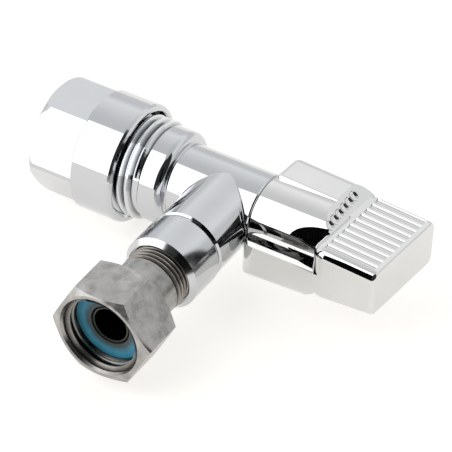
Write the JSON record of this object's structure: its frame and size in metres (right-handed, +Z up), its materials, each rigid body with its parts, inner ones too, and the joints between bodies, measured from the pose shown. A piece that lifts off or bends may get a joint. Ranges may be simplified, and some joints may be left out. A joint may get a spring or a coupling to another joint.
{
  "type": "isolating valve",
  "caption": "Chromed angle isolating valve with a compression inlet, a swivel-nut outlet on the side branch and a ribbed quarter-turn lever on the end.",
  "frame": {"origin": "centre of the stop that the inlet pipe meets inside the body, on the inlet axis", "axes": "+X along the inlet axis towards the lever, -Y along the outlet branch, +Z up as in the picture"},
  "size_m": [0.0793, 0.0604, 0.0246],
  "materials": {
    "chromed_brass": "polished chrome on brass",
    "chromed_nut": "polished chrome on brass",
    "olive_brass": "turned brass",
    "nickel_tail": "dull nickel plate on brass",
    "nickel_nut": "dull mottled nickel plate on brass",
    "bonnet_brass": "turned brass",
    "blue_washer": "smooth blue sealing washer",
    "black_rubber": "moulded rubber",
    "white_ceramic": "lapped ceramic",
    "ptfe": "plain plastic",
    "spring_steel": "dark steel",
    "adaptor_plastic": "moulded plastic",
    "chromed_handle": "bright chrome on a die-cast handle"
  },
  "bodies": {
    "valve": {"valve_body": "chromed_brass", "outlet_tail": "nickel_tail", "tail_o_ring": "black_rubber", "union_washer": "blue_washer", "bonnet": "bonnet_brass", "bonnet_o_ring": "black_rubber", "seat_seal": "black_rubber", "fixed_disc": "white_ceramic", "thrust_washer": "ptfe"},
    "lever": {"handle": "chromed_handle", "grub_screw": "spring_steel", "spline_adaptor": "adaptor_plastic", "spindle": "bonnet_brass", "spindle_o_ring_inner": "black_rubber", "spindle_o_ring_outer": "black_rubber", "circlip": "spring_steel", "moving_disc": "white_ceramic"},
    "swivel": {"swivel_nut": "nickel_nut"},
    "olive_ring": {"olive": "olive_brass"},
    "pipe_nut": {"compression_nut": "chromed_nut"}
  },
  "joints": [
    {"name": "lever_turn", "type": "hinge", "parent": "valve", "child": "lever", "pos_m": [0.032, 0, 0], "axis": [1, 0, 0], "range_deg": [-90, 0]},
    {"name": "swivel_spin", "type": "hinge", "parent": "valve", "child": "swivel", "pos_m": [0.017, -0.0427, 0], "axis": [0, 1, 0], "continuous": true},
    {"name": "nut_travel", "type": "slide", "parent": "valve", "child": "olive_ring", "axis": [1, 0, 0], "range_m": [-0.0037, 0.0013]},
    {"name": "nut_turn", "type": "hinge", "parent": "olive_ring", "child": "pipe_nut", "pos_m": [-0.013, 0, 0], "axis": [1, 0, 0], "range_deg": [-720, 240]}
  ],
  "couplings": [
    {"joint": "nut_travel", "follows": "nut_turn", "m_per_rad": 0.00028871}
  ]
}
